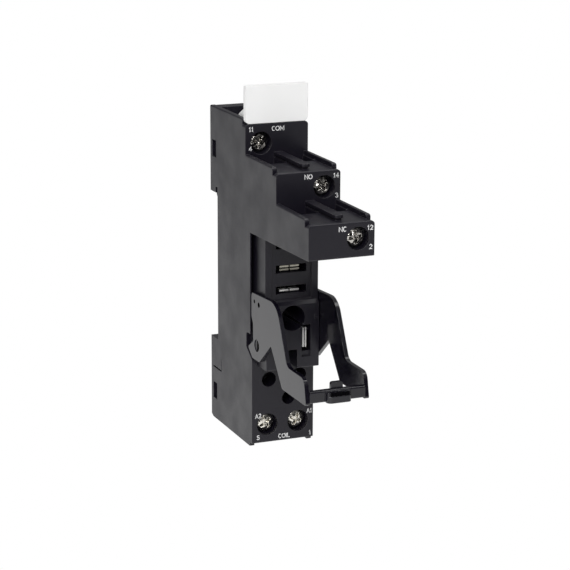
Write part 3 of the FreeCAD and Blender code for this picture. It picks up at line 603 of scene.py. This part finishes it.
def ribbon(line):
    """Closed flat band of one stroke: two mitred edges and rounded ends, as outlines of equal length.
    Each edge lies half a stroke from the line, divided by the cosine of half the bend, and at the ends
    follows a half circle: half a stroke * (√(1 - cap²) along, cap across)."""
    keep = np.concatenate([[True], np.linalg.norm(np.diff(line, axis=0), axis=1) > 1e-6])
    line = line[keep]
    run = np.diff(line, axis=0)
    run /= np.linalg.norm(run, axis=1, keepdims=True)
    before, after = np.vstack([run[:1], run]), np.vstack([run, run[-1:]])
    middle = before + after
    middle /= np.linalg.norm(middle, axis=1, keepdims=True)
    lean = np.clip((middle * after).sum(axis=1, keepdims=True), mitre_limit, 1.0)
    normal = np.stack([-middle[:, 1], middle[:, 0]], axis=1) * (stroke / 2 / lean)
    cap = np.array([0.98, 0.8, 0.45])[:, None]
    reach = stroke / 2 * (1 - cap ** 2) ** 0.5
    line = np.vstack([(line[0] - after[0] * reach)[::-1], line, line[-1] + after[-1] * reach])
    normal = np.vstack([(normal[0] * cap)[::-1], normal, normal[-1] * cap])
    return line + normal, line - normal


def mark_mesh(name, text, width):
    """Film of the strokes of a text, `width` wide and one cap height tall, centred, in the XZ plane.
    Each stroke is a row of rings of four corners, left and right at the front and at the back."""
    sizes = [widths.get(letter, letter_width) for letter in text]
    scale = (width - stroke) / (sum(sizes) + letter_gap * (len(text) - 1))
    tall = cap_height - stroke
    corners, faces = [], []
    count = 0
    x = -(width - stroke) / 2
    for letter, size in zip(text, sizes):
        for line in glyphs[letter]:
            left, right = ribbon(np.array(line) * (size * scale, tall) + (x, -tall / 2))
            flat = np.stack([left, right, right, left], axis=1)
            depth = np.broadcast_to(mark_film / 2 * np.array([-1, -1, 1, 1]), flat.shape[:2])
            ring = count + np.arange(flat.shape[0] * 4).reshape(-1, 4)
            beside = np.roll(ring, -1, axis=1)
            corners += np.stack([flat[..., 0], depth, flat[..., 1]], axis=-1).reshape(-1, 3).tolist()
            faces += np.stack([ring[:-1], beside[:-1], beside[1:], ring[1:]], axis=-1).reshape(-1, 4).tolist()
            faces += [ring[0, ::-1].tolist(), ring[-1].tolist()]
            count += ring.size
        x += (size + letter_gap) * scale
    mesh = bpy.data.meshes.new(name)
    mesh.from_pydata(corners, [], faces)
    return mesh


marks = [
    ("11", com_face, -0.0065, 0.0365, 0.0012), ("4", com_face, -0.0067, 0.0319, 0.00085),
    ("COM", com_face, 0.0003, 0.0364, 0.0032),
    ("NO", no_face, 0.0, 0.0283, 0.002), ("14", no_face, 0.00695, 0.0282, 0.0014),
    ("3", no_face, 0.0071, 0.0235, 0.0008),
    ("NC", nc_face, 0.0002, 0.02, 0.0019), ("12", nc_face, 0.00695, 0.0199, 0.0014),
    ("2", nc_face, 0.0071, 0.0155, 0.0008),
    ("A2", coil_face, -0.0064, -0.033, 0.0016), ("5", coil_face, -0.0064, -0.0385, 0.0008),
    ("COIL", coil_face, 0.0004, -0.0387, 0.0031), ("A1", coil_face, 0.007, -0.0331, 0.0015),
    ("1", coil_face, 0.0072, -0.0387, 0.00065),
]
for i, (text, face, x, z, width) in enumerate(marks):
    mesh = mark_mesh("mark " + text, text, width)
    mesh.transform(Matrix.Translation((x, face - mark_film / 2, z)))
    mesh.materials.append(ink)
    mark = bpy.data.objects.new(f"mark_{i:02d}", mesh)
    bpy.context.scene.collection.objects.link(mark)
    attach(mark, "socket")

# Studio floor: a sheet of pale paper well below the socket, which glows more towards the back.
# The camera sees it as plain white, and the socket is lit by the paper itself.

floor_half = 3.0
floor_z = -0.16
white = (1.0, 1.0, 1.0, 1.0)
floor_mesh = bpy.data.meshes.new("floor")
floor_corners = [(x * floor_half, y * floor_half, floor_z) for x, y in ((-1, -1), (1, -1), (1, 1), (-1, 1))]
floor_mesh.from_pydata(floor_corners, [], [(0, 1, 2, 3)])
floor = bpy.data.objects.new("floor", floor_mesh)
bpy.context.scene.collection.objects.link(floor)


def plain_to_camera(tree, lit, plain, end):
    """Joins two shaders: rays straight from the camera see the plain one, and all others the lit one."""
    seen = add(tree, "ShaderNodeLightPath")
    choose = add(tree, "ShaderNodeMixShader")
    tree.links.new(seen.outputs["Is Camera Ray"], choose.inputs["Fac"])
    tree.links.new(lit, choose.inputs[1])
    tree.links.new(plain, choose.inputs[2])
    tree.links.new(choose.outputs["Shader"], end)


paper, tree, sheet = new_finish("pale floor")
sheet.inputs["Base Color"].default_value = (0.8, 0.8, 0.8, 1.0)
sheet.inputs["Roughness"].default_value = 0.9
sheet.inputs["Emission Color"].default_value = white
place = add(tree, "ShaderNodeTexCoord")
split = add(tree, "ShaderNodeSeparateXYZ")
glow = add(tree, "ShaderNodeMapRange", interpolation_type="SMOOTHSTEP", fill={
    "From Min": -0.25, "From Max": 0.2, "To Min": 0.0, "To Max": 0.35})
tree.links.new(place.outputs["Object"], split.inputs["Vector"])
tree.links.new(split.outputs["Y"], glow.inputs["Value"])
tree.links.new(glow.outputs["Result"], sheet.inputs["Emission Strength"])
blank = add(tree, "ShaderNodeEmission", fill={"Color": white, "Strength": 1.0})
plain_to_camera(tree, sheet.outputs["BSDF"], blank.outputs["Emission"],
                tree.nodes["Material Output"].inputs["Surface"])
floor_mesh.materials.append(paper)

# Soft lights: two square lamps, the key from the upper left at the front and a weaker one from above.
# Both are aimed at the middle of the socket.

light_size = 0.6
light_target = (0.0, -0.02, 0.0)


def soft_light(name, place, power):
    """Square area light at a place, aimed at the target."""
    lamp = bpy.data.lights.new(name, "AREA")
    lamp.size = light_size
    lamp.energy = power
    holder = bpy.data.objects.new(name, lamp)
    bpy.context.scene.collection.objects.link(holder)
    way = np.array(light_target) - np.array(place)
    way /= np.linalg.norm(way)
    side = np.cross(way, (0.0, 0.0, 1.0))
    side /= np.linalg.norm(side)
    turn = np.stack([side, np.cross(side, way), -way], axis=1)
    holder.matrix_world = Matrix.Translation(place) @ Matrix(turn.tolist()).to_4x4()


soft_light("key", (-0.45, -0.75, 0.55), 8.0)
soft_light("top", (0.05, -0.1, 0.8), 3.4)

# Surround: a dark room with soft light from above and from behind on the right.
# Where the camera sees it, it is plain white.

world = bpy.data.worlds.new("studio")
world.use_nodes = True
bpy.context.scene.world = world
tree = world.node_tree
way = add(tree, "ShaderNodeTexCoord")


def card(direction, share):
    """Soft patch of light round a direction: a smooth step of the dot product with it, up to the share."""
    along = add(tree, "ShaderNodeVectorMath", operation="DOT_PRODUCT", fill={1: direction})
    patch = add(tree, "ShaderNodeMapRange", interpolation_type="SMOOTHSTEP", fill={
        "From Min": -0.1, "From Max": 0.95, "To Min": 0.0, "To Max": share})
    tree.links.new(way.outputs["Generated"], along.inputs[0])
    tree.links.new(along.outputs["Value"], patch.inputs["Value"])
    return patch.outputs["Result"]


behind_right = card((0.5, 0.87, 0.0), 0.14)
above = card((0.0, 0.0, 1.0), 0.36)
both = add(tree, "ShaderNodeMath", operation="ADD")
tree.links.new(behind_right, both.inputs[0])
tree.links.new(above, both.inputs[1])
surround = tree.nodes["Background"]
surround.inputs["Color"].default_value = white
tree.links.new(both.outputs[0], surround.inputs["Strength"])
backdrop = add(tree, "ShaderNodeBackground", fill={"Color": white, "Strength": 1.0})
plain_to_camera(tree, surround.outputs["Background"], backdrop.outputs["Background"],
                tree.nodes["World Output"].inputs["Surface"])

# Camera: stands as in the photograph, fitted to the corners of the housing, with a long lens.
# It looks down a little on the socket's left and front.

camera_place = (-0.18178, -0.46533, 0.12155)
yaw, pitch, roll = math.radians(22.40), math.radians(14.36), math.radians(0.20)
lens = bpy.data.cameras.new("camera")
lens.lens = 130.4
lens.sensor_width = 36.0
lens.clip_start = 0.01
camera = bpy.data.objects.new("camera", lens)
bpy.context.scene.collection.objects.link(camera)
camera.matrix_world = (Matrix.Translation(camera_place) @ Matrix.Rotation(-yaw, 4, "Z")
                       @ Matrix.Rotation(math.pi / 2 - pitch, 4, "X") @ Matrix.Rotation(roll, 4, "Z"))
bpy.context.scene.camera = camera
bpy.context.scene.view_settings.view_transform = "Standard"
